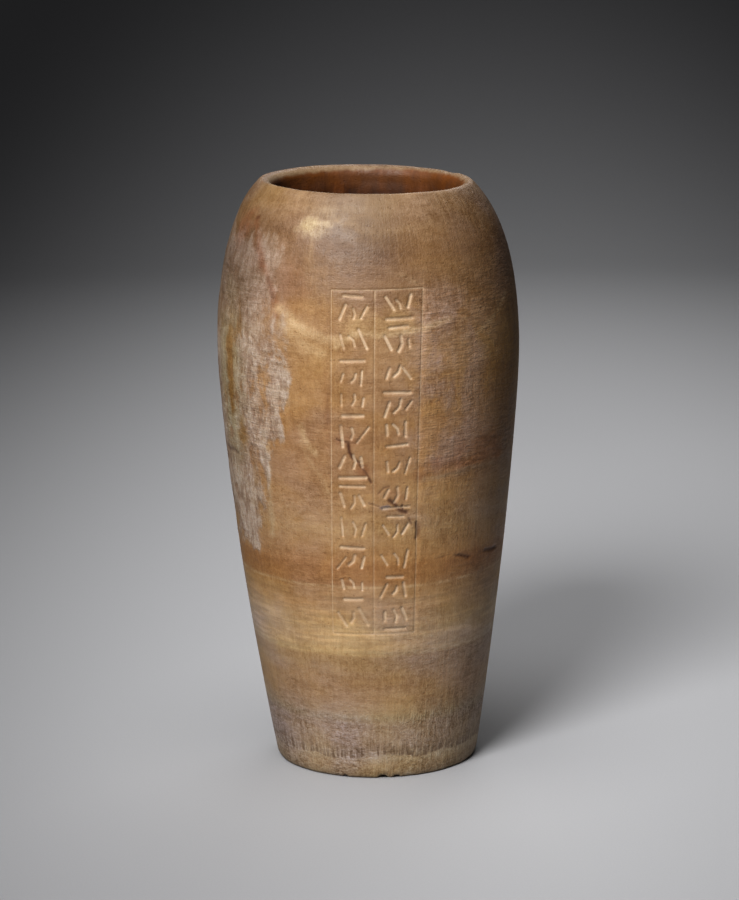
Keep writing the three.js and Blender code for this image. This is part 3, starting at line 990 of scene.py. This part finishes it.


# the cavity's stone: dark brown stains, paler and dripping under the lip, which is partly a painted band of
# light, and the rim's own colour at the top
def makeBoreStone():
    material, tree, shader = newMaterial("boredTravertine", IOR=1.5)
    at = placesOn(tree)
    grain = useGroup(tree, stoneGrain, Object=at["place"], Tube=at["tube"], Coarseness=0.8)
    colour = overlay(tree, noiseOn(tree, at, "stains"), tint(*stone["boreDark"]), tint(*stone["bore"]))
    edge = maths(tree, "MULTIPLY_ADD", noiseOn(tree, at, "drips"), -1.2, at["height"])
    # paler band under the lip: drip streaks and, in part, painted light
    colour = overlay(tree, remap(tree, edge, 322, 335, 0, 0.45), colour, tint(*stone["paleAndLitBore"]))
    colour = overlay(tree, remap(tree, edge, 336, 338.2), colour, tint(*stone["bands"][-1][1]))
    colour = deepen(tree, colour, grain["Tone"], stone["deepening"])
    tree.links.new(colour, shader.inputs["Base Color"])
    tree.links.new(remap(tree, grain["Mottle"], 0.0, 1.0, 0.7, 0.5), shader.inputs["Roughness"])
    bump = addNode(tree, "ShaderNodeBump", {"Height": grain["Height"], "Strength": 1.0, "Distance": mm})
    tree.links.new(bump.outputs[0], shader.inputs["Normal"])
    return material


studio = {  # metres, with the camera's angles in radians and its lens in mm
    # pale paper in the painted pool of light, and the painted shade of the paper farther off
    "paper": (187, 187, 189), "paintedShadePaper": (54, 54, 56),
    "floorRadius": 1.7, "curveRadius": 0.8, "wallTop": 2.2, "innerRing": 0.4, "segments": 96,
    # where the painted pool of light lies, its size, and the distances over which it fades to painted shade
    "paintedPoolCentre": (0.12, 0.8), "paintedPoolSize": (0.38, 1.05), "paintedPoolEdge": (0.2, 2.1),
    "camera": {"away": 1.9899, "height": 0.62595, "lookDown": 0.21995, "lean": 0.01232, "lens": 140.19},
    "lights": [  # name, degrees round from the front, degrees up, metres away, disk across, watts
        ("key", -23, 40, 1.6, 0.65, 40),
        ("overhead", -30, 82, 1.6, 1.0, 14),
        ("back", 165, 42, 1.9, 1.0, 9),
    ],
    "lightsAimAt": 0.17,
    "gamma": 0.83,  # a little more contrast than the plain view gives
    "roomLight": 0.006,
}


# paper with a painted pool of light: pale in a long pool about the jar, painted darker farther off, by its
# distance from the pool's centre once squeezed to a circle; its height counts as distance to the back
def makePaperPaintedPool():
    material, tree, shader = newMaterial("studioPaperPaintedPool", Roughness=0.8)
    place = addNode(tree, "ShaderNodeTexCoord").outputs["Object"]
    parts = addNode(tree, "ShaderNodeSeparateXYZ", {0: place}).outputs
    back = maths(tree, "ADD", parts[1], parts[2])
    spread = addNode(tree, "ShaderNodeCombineXYZ", {0: parts[0], 1: back}).outputs[0]
    settings = {"Vector": spread, "Location": (*studio["paintedPoolCentre"], 0), "Scale": (*studio["paintedPoolSize"], 1)}
    paintedPool = addNode(tree, "ShaderNodeMapping", settings, vector_type="TEXTURE").outputs[0]
    away = addNode(tree, "ShaderNodeVectorMath", {0: paintedPool}, operation="LENGTH").outputs["Value"]
    share = remap(tree, away, *studio["paintedPoolEdge"])
    # painted light in the pool, painted shade farther off
    colour = overlay(tree, share, tint(*studio["paper"]), tint(*studio["paintedShadePaper"]))
    fibres = addNode(tree, "ShaderNodeTexNoise", {"Vector": place, "Scale": 900.0, "Detail": 2.0}).outputs[0]
    colour = shade(tree, colour, remap(tree, fibres, 0.3, 0.7, 0.985, 1.015))
    tree.links.new(colour, shader.inputs["Base Color"])
    return material


# paper that lies flat and curves up all round: a straight run, a quarter circle and a straight rise, spun
# about Z
def makePaper():
    flat, bend, count = studio["floorRadius"], studio["curveRadius"], studio["segments"]
    turn = np.linspace(0, math.pi / 2, 24)
    curve = np.column_stack([flat + bend * np.sin(turn), bend - bend * np.cos(turn)])
    radius, height = np.vstack([[[studio["innerRing"], 0]], curve, [[flat + bend, studio["wallTop"]]]]).T
    angle = np.linspace(0, 2 * math.pi, count, endpoint=False)
    up = np.repeat(height[:, None], count, 1)
    rings = np.stack([np.outer(radius, np.cos(angle)), np.outer(radius, np.sin(angle)), up], axis=-1)
    points = np.vstack([rings.reshape(-1, 3), [[0, 0, 0]]])
    i, j = np.meshgrid(np.arange(len(radius) - 1), np.arange(count), indexing="ij")
    here, beside = (i * count + j).ravel(), (i * count + (j + 1) % count).ravel()
    faces = np.column_stack([here, beside, beside + count, here + count])[:, ::-1].tolist()
    faces += [[len(points) - 1, k, (k + 1) % count] for k in range(count)]
    mesh = bpy.data.meshes.new("paper")
    mesh.from_pydata(points.tolist(), [], faces)
    mesh.polygons.foreach_set("use_smooth", np.ones(len(mesh.polygons), bool))
    mesh.materials.append(makePaperPaintedPool())
    paper = bpy.data.objects.new("paper", mesh)
    bpy.context.scene.collection.objects.link(paper)
    return paper


# disk lamps on a sphere about the jar, all aimed at its middle, and a faint even light from the room
def makeLights():
    aim = Vector((0, 0, studio["lightsAimAt"]))
    for name, around, up, away, across, watts in studio["lights"]:
        light = bpy.data.lights.new(name, "AREA")
        light.shape, light.size, light.energy = "DISK", across, watts
        lamp = bpy.data.objects.new(name, light)
        around, up = math.radians(around), math.radians(up)
        sideways = math.cos(up) * math.sin(around)
        offset = Vector((sideways, -math.cos(up) * math.cos(around), math.sin(up))) * away
        turned = offset.to_track_quat("Z", "Y").to_matrix().to_4x4()
        lamp.matrix_world = Matrix.Translation(aim + offset) @ turned
        lamp.visible_camera = False
        bpy.context.scene.collection.objects.link(lamp)
    world = bpy.data.worlds.new("room")
    world.use_nodes = True
    background = world.node_tree.nodes["Background"]
    background.inputs["Color"].default_value = (1, 1, 1, 1)
    background.inputs["Strength"].default_value = studio["roomLight"]
    bpy.context.scene.world = world


# a camera straight in front, looking down a little and leaning slightly: turned about its own line of sight,
# tipped about X, then moved back
def makeCamera():
    view = studio["camera"]
    camera = bpy.data.cameras.new("camera")
    camera.lens, camera.sensor_width, camera.clip_end = view["lens"], 36, 30
    eye = bpy.data.objects.new("camera", camera)
    tipped = Matrix.Rotation(math.pi / 2 - view["lookDown"], 4, "X")
    leant = Matrix.Rotation(-view["lean"], 4, "Z")
    eye.matrix_world = Matrix.Translation((0, -view["away"], view["height"])) @ tipped @ leant
    bpy.context.scene.collection.objects.link(eye)
    bpy.context.scene.camera = eye


jar = makeJar()
jar.data.materials.append(makeWallStone())
jar.data.materials.append(makeBoreStone())
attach(jar, "root")
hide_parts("jar")
print("stone laid on")

makePaper()
makeLights()
makeCamera()
look = bpy.context.scene.view_settings
look.view_transform, look.gamma = "Standard", studio["gamma"]
print("studio set")
